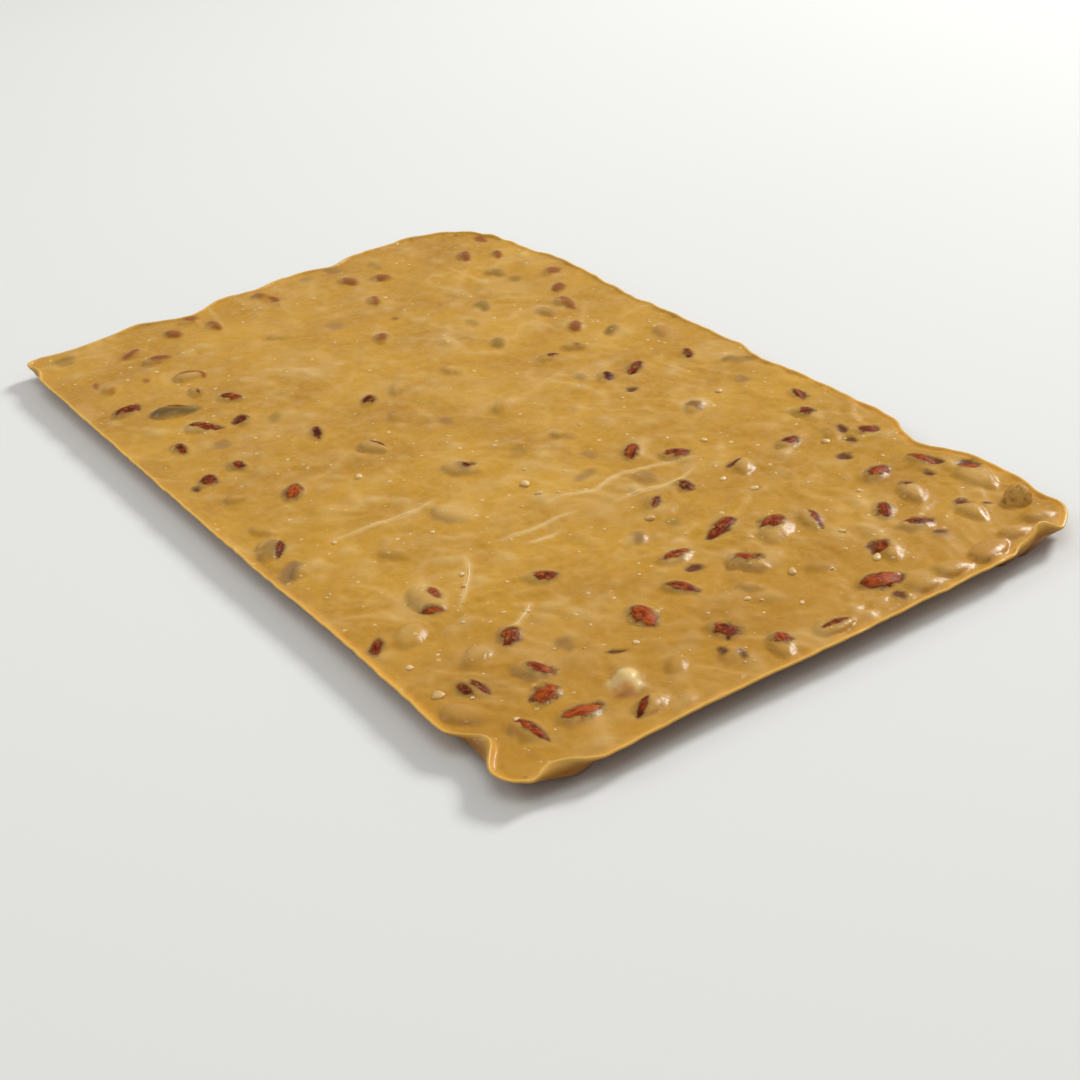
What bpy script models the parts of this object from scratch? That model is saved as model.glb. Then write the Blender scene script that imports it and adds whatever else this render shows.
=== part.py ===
# Poured slab of caramel chocolate with whole almonds sunk in its top.
# Metres, +Z up. The slab lies flat on z = 0, its long side runs along X, and the origin is under its middle.
# The underside rises in a shallow curve to a thin wavy lip, which curls in at three places.
# Almonds whose skin shows are pieces of their own in pockets. Those under the chocolate are mounds in it.
import math

import bmesh
import bpy
from mathutils import Euler, Matrix, Vector

MM = 0.001

# Slab
HALF_LENGTH = 213 * MM
HALF_WIDTH = 126.5 * MM
LEVEL = 7.0 * MM
LIP_HEIGHT = 8.8 * MM
LIP_THICKNESS = 1.3 * MM
LIP_FOOT = 4.5 * MM
UNDERCUT = 15 * MM
UNDERCUT_NEAR = 18 * MM
BOTTOM_CORNER_RADIUS = 12 * MM
OUTLINE_STEP = 9 * MM
ARC_STEPS = 5

# Corner radii, anticlockwise from the corner at -X -Y
CORNER_RADII = (12 * MM, 14 * MM, 21 * MM, 50 * MM)

# The edge wall from the underside up to the lip: how far in it lies, as a share of the undercut,
# how high it stands, as a share of the lip's height, and how much of a curl it follows.
# Below a curl the wall stands out by a share of the undercut.
WALL_PROFILE = ((1.0, 0.0, 0.0), (0.72, 0.22, 0.0), (0.45, 0.47, 0.05), (0.18, 0.72, 0.2), (0.0, 0.92, 1.0))

CURL_STANDS_OUT = 0.5

# Scallops of the whole edge, in mm: x, y, how far the edge moves in, half its width
SCALLOPS = (
    (105, -126, 1.5, 100), (180, -126, 2.5, 18), (213, -50, 1.2, 60), (-168, 126, 5, 42), (-65, 126, 1.8, 50),
    (30, 126, 2.2, 24), (128, 126, 8.5, 24), (188, 126, 4, 14), (-213, 36, 4.5, 16), (-213, -5, 3.5, 20),
    (-213, -43, 8.5, 26), (-213, -98, 4.5, 30), (213, -126, 3.5, 26), (213, 126, 3, 26),
)

# Curls of the lip alone, in mm: x, y, how far the lip leans in, half its width, how much higher it stands
CURLS = (
    (182, -126, 6.5, 15, 1.2), (213, -107, 6.5, 15, 0.8), (213, 101, 5, 11, 4.2), (213, 90, 2.5, 7, 0.8),
    (-197, -126, 3, 12, 0.5),
)

# Almonds
WIDTH_SHARE = 0.55
THICKNESS_SHARE = 0.37
ALMOND_SIDES = 8
ALMOND_BANDS = 6
MOUND_BANDS = 5
TIP_POWER = 0.78
BUTT_POWER = 0.5
TILT = math.radians(5)
POCKET_GAP = 0.35 * MM
FLOOR_UNDER_ALMOND = 1.2 * MM
BELLY_SHARE = 0.6

# Almonds whose skin shows: x, y in mm, heading in degrees from +X, length in mm, height over the level in mm
ALMONDS = (
    (111, -47, 60, 19, 1.4), (135, -78, -40, 19, 1.4), (158, -83, 30, 18, 2.0), (173, -89, -60, 16, 1.8),
    (188, -85, 88, 19, 1.8), (185, -103, 8, 20, 1.6), (154, -104, 8, 18, 1.4), (183, -63, -35, 17, 2.2),
    (198, -64, 105, 17, 1.8), (141, 35, -50, 24, 2.2), (126, 21, -72, 19, 1.5), (153, 14, 20, 20, 2.0),
    (131, -3, 92, 18, 1.4), (150, -15, 33, 18, 1.4), (156, -36, -5, 20, 1.6), (181, -21, 25, 18, 1.5),
    (200, -12, -25, 17, 1.7), (194, -29, -50, 15, 1.2), (192, 40, 78, 20, 1.8), (203, 9, 85, 17, 1.6),
    (163, 115, -8, 24, 2.3), (140, 110, 20, 18, 1.4), (134, 92, 105, 18, 1.4), (155, 90, -20, 19, 2.0),
    (158, 73, -35, 17, 1.4), (173, 76, 70, 17, 1.6), (180, 96, -5, 18, 1.8), (180, 56, -30, 20, 1.7),
    (145, 49, -20, 18, 1.5), (203, 82, 100, 19, 2.0), (96, -87, -8, 25, 2.4), (24, -115, -35, 18, 1.4),
    (56, 32, -45, 18, 1.3), (69, 45, 65, 17, 1.3), (21, -26, 35, 21, 2.1), (78, 105, 30, 16, 1.6),
    (107, 112, 55, 17, 1.3), (42, 75, -60, 18, 1.6), (96, 57, -35, 16, 1.8), (-89, -89, 42, 19, 1.5),
    (-9, -87, -45, 18, 1.8), (-49, -55, -20, 17, 1.4), (-21, -43, 20, 17, 1.9), (-85, 98, -8, 19, 1.4),
    (-59, 85, -35, 18, 1.4), (-5, 79, -55, 19, 1.4), (-25, 110, -25, 18, 1.8), (-198, -44, 90, 17, 1.5),
    (-169, -74, 80, 18, 1.5), (-184, -82, -65, 18, 1.4), (-142, -70, 70, 18, 1.6),
    (-106, -66, 30, 18, 1.5), (-123, -76, -15, 16, 1.3), (-113, -92, 65, 20, 2.6),
    (-129, -107, 110, 18, 1.5), (-169, 94, -25, 18, 1.4), (-121, 113, -45, 17, 1.4),
    (-102, 105, -40, 17, 1.4),
)

# One almond stands on end near the far right corner: x, y in mm, heading in degrees, length and top in mm
UPRIGHT = (186, 112, -60, 15, 13.0)
UPRIGHT_TILT = math.radians(48)

# Mounds over sunk almonds, the same five values
MOUNDS = (
    (110, -114, -40, 17, 1.0), (47, -113, -45, 17, 1.2), (93, 31, -10, 16, 0.9), (95, 13, -48, 17, 0.9),
    (78, 24, 20, 16, 1.2), (112, -6, -40, 15, 0.9), (99, 99, -20, 15, 1.0), (64, 112, -12, 17, 1.2),
    (92, 84, 100, 16, 1.2), (-83, -73, -30, 16, 1.2), (-77, -104, 0, 17, 1.1), (-46, -93, 10, 16, 1.1),
    (-43, -109, -45, 16, 1.1), (-61, -23, -45, 16, 1.1), (-84, 85, 0, 15, 1.0), (-42, 74, 40, 16, 1.2),
    (-42, 59, 90, 15, 1.0), (-45, 96, -55, 15, 1.0), (-70, 50, -25, 17, 1.0), (-7, 64, -38, 15, 1.1),
    (0, 104, -25, 16, 1.2), (-190, -57, 20, 16, 1.2), (-154, -105, -28, 17, 1.2), (-185, -38, 0, 17, 1.1),
    (-185, 36, 30, 17, 1.3), (-154, 33, -18, 17, 1.1), (-114, 14, -30, 16, 1.2), (-200, -5, 60, 16, 1.3),
    (-159, 107, -25, 16, 1.2), (-141, 95, 20, 16, 1.0), (-177, 51, 50, 16, 1.2), (-111, 68, -20, 16, 1.0),
    (112, -105, -50, 22, 1.6), (164, -113, 30, 22, 1.4), (138, -94, -55, 20, 1.3), (187, -46, -35, 16, 1.3),
    (203, 64, 75, 19, 1.7), (166, 4, 40, 12, 1.1), (10, -110, 20, 15, 1.0), (49, -48, 15, 24, 1.3),
    (21, 115, 30, 17, 1.2), (-61, -8, -38, 20, 1.0), (-38, -23, -35, 17, 0.9), (172, 31, 60, 16, 1.0),
    (25, 21, 30, 16, 1.0), (-15, 15, -40, 18, 0.8), (-60, 20, 10, 18, 0.8), (-150, -20, 50, 18, 0.8),
    (60, -80, 25, 18, 0.9), (-20, -105, 60, 16, 0.9), (199, 112, 60, 18, 2.0), (201, 98, 74, 17, 1.9),
    (204, 50, 70, 18, 1.6),
)


def clear_scene():
    for thing in list(bpy.data.objects):
        bpy.data.objects.remove(thing, do_unlink=True)


def make_material(name, colour, roughness):
    material = bpy.data.materials.new(name)
    material.use_nodes = True
    shader = material.node_tree.nodes["Principled BSDF"]
    shader.inputs["Base Color"].default_value = (*colour, 1.0)
    shader.inputs["Roughness"].default_value = roughness
    shader.inputs["Metallic"].default_value = 0.0
    return material


def add_object(name, mesh, material):
    thing = bpy.data.objects.new(name, mesh)
    mesh.materials.append(material)
    bpy.context.scene.collection.objects.link(thing)
    return thing


def rounded_rectangle(low, high, radii):
    """Points round a rectangle with arcs at its corners, each with its outward direction."""
    corners = ((low.x, low.y, 180), (high.x, low.y, 270), (high.x, high.y, 0), (low.x, high.y, 90))
    steps_long = round(2 * HALF_LENGTH / OUTLINE_STEP)
    steps_short = round(2 * HALF_WIDTH / OUTLINE_STEP)
    arcs = []
    for (x, y, start), radius in zip(corners, radii):
        toward = Vector((math.copysign(1, -x), math.copysign(1, -y)))
        centre = Vector((x, y)) + toward * radius
        arc = []
        for step in range(ARC_STEPS + 1):
            angle = math.radians(start + 90 * step / ARC_STEPS)
            outward = Vector((math.cos(angle), math.sin(angle)))
            arc.append((centre + outward * radius, outward))
        arcs.append(arc)
    points = []
    for index, arc in enumerate(arcs):
        points += arc
        first, outward = arc[-1]
        last = arcs[(index + 1) % len(arcs)][0][0]
        steps = steps_long if index % 2 == 0 else steps_short
        for step in range(1, steps):
            points.append((first.lerp(last, step / steps), outward))
    return points


def dent(point, x, y, depth, half_width):
    """How far a dent with its middle at x, y moves the edge in at this point."""
    away = (point - Vector((x, y)) * MM).length / (half_width * MM)
    return depth * MM * math.cos(away * math.pi / 2) ** 2 if away < 1 else 0.0


def slab_rings():
    """Rings of points from the underside's edge up the wall, over the lip and down to the level."""
    low = Vector((-HALF_LENGTH, -HALF_WIDTH))
    high = Vector((HALF_LENGTH, HALF_WIDTH))
    edge = rounded_rectangle(low, high, CORNER_RADII)
    low_foot = low + Vector((UNDERCUT, UNDERCUT_NEAR))
    high_foot = high - Vector((UNDERCUT, UNDERCUT))
    foot_radii = [max(BOTTOM_CORNER_RADIUS, radius - UNDERCUT) for radius in CORNER_RADII]
    foot = rounded_rectangle(low_foot, high_foot, foot_radii)
    rings = [[] for _ in range(len(WALL_PROFILE) + 2)]
    for (point, outward), (below, _) in zip(edge, foot):
        scalloped = point - outward * sum(dent(point, *scallop) for scallop in SCALLOPS)
        curl = outward * sum(dent(point, *values[:4]) for values in CURLS)
        stands = 1 - CURL_STANDS_OUT * sum(dent(point, x, y, 1 / MM, half) for x, y, _, half, _ in CURLS)
        rise = sum(dent(point, x, y, up, half) for x, y, _, half, up in CURLS)
        height = LIP_HEIGHT + rise
        for ring, (inward, up, follow) in zip(rings, WALL_PROFILE):
            place = scalloped.lerp(below, inward * stands) - curl * follow
            ring.append((*place, up * height))
        lip = scalloped - curl
        rings[-2].append((*(lip - outward * LIP_THICKNESS), height))
        rings[-1].append((*(lip - outward * LIP_FOOT), LEVEL))
    return rings


def make_slab(material):
    mesh_maker = bmesh.new()
    rings = [[mesh_maker.verts.new(point) for point in ring] for ring in slab_rings()]
    count = len(rings[0])
    for lower, upper in zip(rings, rings[1:]):
        for index in range(count):
            after = (index + 1) % count
            mesh_maker.faces.new((lower[index], lower[after], upper[after], upper[index]))
    mesh_maker.faces.new(rings[-1])
    mesh_maker.faces.new(list(reversed(rings[0])))
    bmesh.ops.triangulate(mesh_maker, faces=[face for face in mesh_maker.faces if len(face.verts) == 4])
    mesh = bpy.data.meshes.new("slab")
    mesh_maker.to_mesh(mesh)
    mesh_maker.free()
    return add_object("slab", mesh, material)


def underside(x, y):
    """Height of the slab's underside at this place."""
    near = (HALF_WIDTH + y) / UNDERCUT_NEAR
    other = (HALF_LENGTH - abs(x)) / UNDERCUT
    far = (HALF_WIDTH - y) / UNDERCUT
    inward = max(0.0, min(near, other, far, 1.0))
    for (outer, above, _), (inner, below, _) in zip(WALL_PROFILE[1:], WALL_PROFILE):
        if inward >= outer:
            share = (inward - outer) / (inner - outer)
            return LIP_HEIGHT * (above + (below - above) * share)
    return LIP_HEIGHT


def highest_underside(place, length, width):
    """Height of the underside where it stands highest below an almond's belly."""
    x, y, heading = place[:3]
    along = Vector((math.cos(math.radians(heading)), math.sin(math.radians(heading))))
    across = along.orthogonal()
    middle = Vector((x, y)) * MM
    reaches = (along * length, -along * length, across * width, -across * width)
    return max(underside(*(middle + reach / 2 * BELLY_SHARE)) for reach in reaches)


def almond_mesh(name, length, width, thickness, bands=ALMOND_BANDS):
    """An almond along X: blunt at -X, pointed at +X, a little flatter than it is wide."""
    mesh_maker = bmesh.new()
    bmesh.ops.create_uvsphere(
        mesh_maker, u_segments=ALMOND_SIDES, v_segments=bands, radius=1.0,
        matrix=Matrix.Rotation(math.radians(90), 4, "Y"),
    )
    for vert in mesh_maker.verts:
        along = max(-1.0, min(1.0, vert.co.x))
        girth = math.hypot(vert.co.y, vert.co.z)
        if girth > 1e-6:
            wanted = (1 - along) ** TIP_POWER * (1 + along) ** BUTT_POWER
            vert.co.y *= wanted / girth
            vert.co.z *= wanted / girth
        vert.co.x *= length / 2
        vert.co.y *= width / 2
        vert.co.z *= thickness / 2
    bmesh.ops.recalc_face_normals(mesh_maker, faces=mesh_maker.faces)
    mesh = bpy.data.meshes.new(name)
    mesh_maker.to_mesh(mesh)
    mesh_maker.free()
    return mesh


def lay_almond(name, place, number, material, grown=0.0, bands=ALMOND_BANDS):
    """Puts one almond down so that its top stands over the level and chocolate is left below it."""
    x, y, heading, length, over = place
    length *= MM
    width = WIDTH_SHARE * length
    top = LEVEL + over * MM
    floor = highest_underside(place, length, width) + FLOOR_UNDER_ALMOND
    thickness = min(THICKNESS_SHARE * length, top - floor)
    mesh = almond_mesh(name, length + 2 * grown, width + 2 * grown, thickness + 2 * grown, bands)
    almond = add_object(name, mesh, material)
    almond.location = (x * MM, y * MM, top - thickness / 2)
    roll = TILT * math.sin(2.4 * number)
    pitch = TILT / 2 * math.cos(1.7 * number)
    almond.rotation_euler = (roll, pitch, math.radians(heading))
    return almond


def stand_almond(name, material, grown=0.0):
    """Puts down the almond that stands on end, blunt end up."""
    x, y, heading, length, top = UPRIGHT
    length *= MM
    thickness = THICKNESS_SHARE * length * 1.2
    width = WIDTH_SHARE * length * 1.25
    mesh = almond_mesh(name, length + 2 * grown, width + 2 * grown, thickness + 2 * grown)
    almond = add_object(name, mesh, material)
    turn = Euler((0.0, UPRIGHT_TILT, math.radians(heading)))
    highest = max((turn.to_matrix() @ vert.co).z for vert in mesh.vertices)
    almond.location = (x * MM, y * MM, top * MM + grown - highest)
    almond.rotation_euler = turn
    return almond


def cut_or_join(slab, pieces, operation):
    """Joins the pieces to the slab or cuts them out of it, then removes them."""
    group = bpy.data.collections.new("pieces")
    bpy.context.scene.collection.children.link(group)
    for piece in pieces:
        group.objects.link(piece)
        piece.hide_render = True
        piece.display_type = "WIRE"
    step = slab.modifiers.new(operation.lower(), "BOOLEAN")
    step.operation = operation
    step.operand_type = "COLLECTION"
    step.collection = group
    step.solver = "EXACT"
    bpy.ops.object.select_all(action="DESELECT")
    bpy.context.view_layer.objects.active = slab
    slab.select_set(True)
    bpy.ops.object.modifier_apply(modifier=step.name)
    for piece in pieces:
        bpy.data.objects.remove(piece, do_unlink=True)
    bpy.data.collections.remove(group)


def main():
    clear_scene()
    caramel = make_material("caramel chocolate", (0.56, 0.31, 0.07), 0.35)
    skin = make_material("almond skin", (0.20, 0.05, 0.02), 0.55)
    slab = make_slab(caramel)
    mounds = []
    for number, place in enumerate(MOUNDS, 1):
        mounds.append(lay_almond(f"mound_{number:02d}", place, number, caramel, bands=MOUND_BANDS))
    cut_or_join(slab, mounds, "UNION")
    pockets = [stand_almond("pocket_upright", caramel, POCKET_GAP)]
    for number, place in enumerate(ALMONDS, 1):
        pockets.append(lay_almond(f"pocket_{number:02d}", place, number, caramel, POCKET_GAP))
    cut_or_join(slab, pockets, "DIFFERENCE")
    for number, place in enumerate(ALMONDS, 1):
        lay_almond(f"almond_{number:02d}", place, number, skin)
    stand_almond(f"almond_{len(ALMONDS) + 1:02d}", skin)


main()
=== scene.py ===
import math
from collections import namedtuple

import bmesh
import bpy
import numpy as np
from mathutils import Matrix, Vector
from mathutils.bvhtree import BVHTree


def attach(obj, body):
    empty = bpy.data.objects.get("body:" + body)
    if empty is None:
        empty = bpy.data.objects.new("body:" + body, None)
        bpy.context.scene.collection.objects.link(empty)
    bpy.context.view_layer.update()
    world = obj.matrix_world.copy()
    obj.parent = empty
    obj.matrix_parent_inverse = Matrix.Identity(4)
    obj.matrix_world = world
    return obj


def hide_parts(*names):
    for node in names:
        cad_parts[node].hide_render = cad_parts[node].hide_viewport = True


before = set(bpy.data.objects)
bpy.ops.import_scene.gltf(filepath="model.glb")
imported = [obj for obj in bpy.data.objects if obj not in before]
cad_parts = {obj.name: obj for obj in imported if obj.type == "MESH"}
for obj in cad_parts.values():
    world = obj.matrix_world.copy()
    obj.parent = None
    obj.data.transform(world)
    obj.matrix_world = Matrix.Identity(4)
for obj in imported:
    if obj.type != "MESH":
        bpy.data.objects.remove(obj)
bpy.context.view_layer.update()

# Looks of a poured slab of caramel chocolate with whole almonds sunk in its top.
# Lists give places in mm in the frame's own axes, headings in degrees from +X.
MM = 0.001

# Slab, as it is in the frame
HALF_LENGTH = 213 * MM
HALF_WIDTH = 126.5 * MM
LEVEL = 7.0 * MM
LIP_HEIGHT = 8.8 * MM
LIP_FOOT = 4.5 * MM
UNDERCUT = 15 * MM
UNDERCUT_NEAR = 18 * MM
BOTTOM_CORNER_RADIUS = 12 * MM
CORNER_RADII = (12 * MM, 14 * MM, 21 * MM, 50 * MM)
SCALLOPS = (
    (105, -126, 1.5, 100), (180, -126, 2.5, 18), (213, -50, 1.2, 60), (-168, 126, 5, 42),
    (-65, 126, 1.8, 50), (30, 126, 2.2, 24), (128, 126, 8.5, 24), (188, 126, 4, 14),
    (-213, 36, 4.5, 16), (-213, -5, 3.5, 20), (-213, -43, 8.5, 26), (-213, -98, 4.5, 30),
    (213, -126, 3.5, 26), (213, 126, 3, 26),
)
CURLS = (
    (182, -126, 6.5, 15, 1.2), (213, -107, 6.5, 15, 0.8), (213, 101, 5, 11, 4.2),
    (213, 90, 2.5, 7, 0.8), (-197, -126, 3, 12, 0.5),
)

# Grid of the poured top: cells along and across
CELLS_LONG = 352
CELLS_SHORT = 206

# Inner slope and crest of the lip: how far in from the lip's edge, share of the rise from level to crest
LIP_SLOPE = ((2.9, 0.06), (2.1, 0.22), (1.5, 0.55), (1.1, 0.90), (0.75, 1.0), (0.3, 0.96), (0.0, 0.78))
# Wall: share of the undercut, share of the lip's height, how much of a curl it follows
WALL = (
    (0.04, 0.86, 0.7), (0.18, 0.72, 0.2), (0.31, 0.59, 0.1), (0.45, 0.47, 0.05), (0.58, 0.34, 0.02),
    (0.72, 0.22, 0.0), (0.86, 0.10, 0.0), (0.96, 0.02, 0.0), (1.0, 0.0, 0.0),
)
CURL_STANDS_OUT = 0.5

# Unevenness of the lip in mm: a wave inwards with its length, depth, extra depth on the far sides and seed,
# a finer one with length, depth and seed, its even droop, and the waves of its droop
LIP_WAVE = (16, 0.35, 0.75, 11)
LIP_RIPPLE = (7, 0.25, 12)
LIP_DROOP = 0.30
DROOP_WAVES = ((22, 0.25, 13), (8, 0.12, 14))

# Almonds
TIP_POWER = 0.78
BUTT_POWER = 0.5
WIDTH_SHARE = 0.55
THICKNESS_SHARE = 0.37
ALMOND_SEGMENTS = 44
ALMOND_RINGS = 20
WRINKLE = 0.06 * MM
SKIN_APART = 7.3

# How the chocolate lies round the almonds, in mm: how far its level is under the slab's, its heap along
# the far rims, its film over an almond, how far it draws back from bare skin, its rounded foot round a
# mound and round bare skin, how far it sinks there, and the reach over which a patch's edge turns bare
DROP = 0.3
FAR_HEAP = 1.1
FILM = 0.26
BARE = 0.34
MENISCUS = 0.7
BARE_MENISCUS = 0.1
BARE_SINKS = 0.5
BARE_EDGE = (-0.9, 0.5)

Almond = namedtuple("Almond", "middle turn half")

# Almonds sunk so deep that they are mounds in the slab: x, y, heading, length, height over the level
SUNK = (
    (110, -114, -40, 17, 1.0), (47, -113, -45, 17, 1.2), (93, 31, -10, 16, 0.9), (95, 13, -48, 17, 0.9),
    (78, 24, 20, 16, 1.2), (112, -6, -40, 15, 0.9), (99, 99, -20, 15, 1.0), (64, 112, -12, 17, 1.2),
    (92, 84, 100, 16, 1.2), (-83, -73, -30, 16, 1.2), (-77, -104, 0, 17, 1.1), (-46, -93, 10, 16, 1.1),
    (-43, -109, -45, 16, 1.1), (-61, -23, -45, 16, 1.1), (-84, 85, 0, 15, 1.0), (-42, 74, 40, 16, 1.2),
    (-42, 59, 90, 15, 1.0), (-45, 96, -55, 15, 1.0), (-70, 50, -25, 17, 1.0), (-7, 64, -38, 15, 1.1),
    (0, 104, -25, 16, 1.2), (-190, -57, 20, 16, 1.2), (-154, -105, -28, 17, 1.2),
    (-185, -38, 0, 17, 1.1), (-185, 36, 30, 17, 1.3), (-154, 33, -18, 17, 1.1),
    (-114, 14, -30, 16, 1.2), (-200, -5, 60, 16, 1.3), (-159, 107, -25, 16, 1.2),
    (-141, 95, 20, 16, 1.0), (-177, 51, 50, 16, 1.2), (-111, 68, -20, 16, 1.0),
    (112, -105, -50, 22, 1.6), (164, -113, 30, 22, 1.4), (138, -94, -55, 20, 1.3),
    (187, -46, -35, 16, 1.3), (203, 64, 75, 19, 1.7), (166, 4, 40, 12, 1.1), (10, -110, 20, 15, 1.0),
    (49, -48, 15, 24, 1.3), (21, 115, 30, 17, 1.2), (-61, -8, -38, 20, 1.0), (-38, -23, -35, 17, 0.9),
    (172, 31, 60, 16, 1.0), (25, 21, 30, 16, 1.0), (-15, 15, -40, 18, 0.8), (-60, 20, 10, 18, 0.8),
    (-150, -20, 50, 18, 0.8), (60, -80, 25, 18, 0.9), (-20, -105, 60, 16, 0.9), (199, 112, 60, 18, 2.0),
    (201, 98, 74, 17, 1.9), (204, 50, 70, 18, 1.6),
)

# Patches where the skin is bare: x, y, heading, length, width, and tone from dark mahogany 0 to orange red 1
BARE_SKIN = (
    (111, -47, 60, 7, 5, 0.4), (135.5, -78, -45, 9, 5, 0.5), (159, -81, 35, 9, 5, 0.7),
    (171, -88, -60, 11, 8, 0.9), (187, -84, 88, 14, 7, 1.0), (185, -102, 8, 15, 3, 0.6),
    (154, -102, 5, 9, 3, 0.3), (152, -107, 5, 7, 2, 0.3), (198, -68, -52, 11, 2, 0.3),
    (110, -117, -40, 8, 4, 0.6), (137, 37, -60, 10, 8, 0.5), (127, 21, -72, 17, 5, 0.5),
    (150, 15, 60, 9, 7, 0.6), (131, -3, 92, 10, 4, 0.6), (141, -3, 90, 5, 4, 0.3),
    (150, -15, 33, 11, 4, 0.7), (156, -36, -5, 12, 7, 0.9), (181, -20, 25, 9, 7, 0.5),
    (198, -10, 0, 6, 6, 0.6), (193, 40, 78, 16, 7, 0.7), (203, 38, -10, 5, 3, 0.5),
    (203, 9, 85, 10, 2, 0.3), (155, 119, -8, 9, 6, 0.8), (140, 111, 20, 14, 4, 0.7),
    (148, 105, 0, 4, 2, 0.4), (134, 92, 105, 10, 6, 0.6), (149, 93, 0, 5, 4, 0.5),
    (158, 73, -35, 9, 4, 0.5), (172, 77, 70, 10, 6, 0.4), (173, 98, 0, 5, 4, 0.5),
    (175, 54, -30, 9, 6, 0.6), (145, 51, -20, 15, 2, 0.4), (95, -84, -8, 7, 3, 0.8),
    (103, -90, 58, 8, 2.1, 1.0), (26, -111, -35, 13, 2, 0.1), (56, 32, -45, 10, 4, 0.6),
    (69, 45, 65, 9, 5, 0.4), (93, 31, -10, 7, 4, 0.2), (95, 15, -48, 9, 2, 0.3),
    (64, 113, -12, 9, 4, 0.5), (78, 105, 0, 5, 5, 0.4), (107, 112, 55, 7, 5, 0.5),
    (99, 105, -20, 6, 3, 0.2), (108, 102, 0, 4, 2, 0.4), (92, 84, 100, 6, 5, 0.4),
    (10, 66, 0, 4, 4, 0.3), (20, -23, -45, 6, 4, 0.2), (91, 56, 100, 8, 2, 0.2),
    (116, 91, 0, 5, 4, 0.4), (-89, -88, 42, 15, 5, 0.7), (-84, -74, 0, 7, 6, 0.5),
    (-77, -105, 0, 8, 3, 0.4), (-46, -93, 10, 6, 4, 0.4), (-43, -108, -45, 6, 6, 0.4),
    (-41, -115, 0, 4, 2, 0.2), (-9, -87, -45, 9, 5.5, 1.0), (-49, -55, -20, 10, 3, 0.1),
    (-22, -41, 20, 8, 2, 0.2), (-61, -23, -45, 5, 5, 0.3), (-85, 98, -8, 16, 5, 0.3),
    (-59, 85, -35, 10, 6, 0.5), (-42, 74, 0, 8, 6, 0.4), (-42, 60, 90, 8, 5, 0.4),
    (-5, 79, -55, 14, 4, 0.6), (-7, 66, -38, 8, 4, 0.2), (0, 104, -25, 9, 3, 0.5),
    (-200, -44, 0, 8, 7, 0.5), (-190, -57, 20, 9, 7, 0.4), (-169, -74, 80, 10, 6, 0.7),
    (-183, -82, -65, 11, 4, 0.5), (-144, -71, 70, 11, 4, 0.9), (-140, -66, 0, 6, 3, 0.8),
    (-107, -67, 30, 10, 5, 0.7), (-122, -76, -15, 8, 3, 0.5), (-115, -90, 65, 13, 5, 0.9),
    (-129, -107, 110, 13, 8, 0.6), (-153, -88, 0, 5, 3, 0.4), (-152, -105, -28, 7, 3, 0.4),
    (-163, -108, -15, 9, 3, 0.4), (-185, -38, 0, 12, 4, 0.4), (-185, 36, 0, 10, 7, 0.4),
    (-154, 33, -18, 10, 4, 0.4), (-130, 30, 0, 4, 3, 0.3), (-114, 14, -30, 7, 5, 0.5),
    (-202, -6, 0, 8, 7, 0.2), (-193, -2, 0, 8, 4, 0.4), (-169, 94, -25, 12, 5, 0.5),
    (-159, 107, -25, 10, 4, 0.5), (-121, 115, -45, 9, 7, 0.4), (-102, 105, -40, 9, 7, 0.5),
    (-177, 50, 0, 8, 7, 0.4), (-183, 112, 0, 10, 5, 0.4),
)

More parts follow.
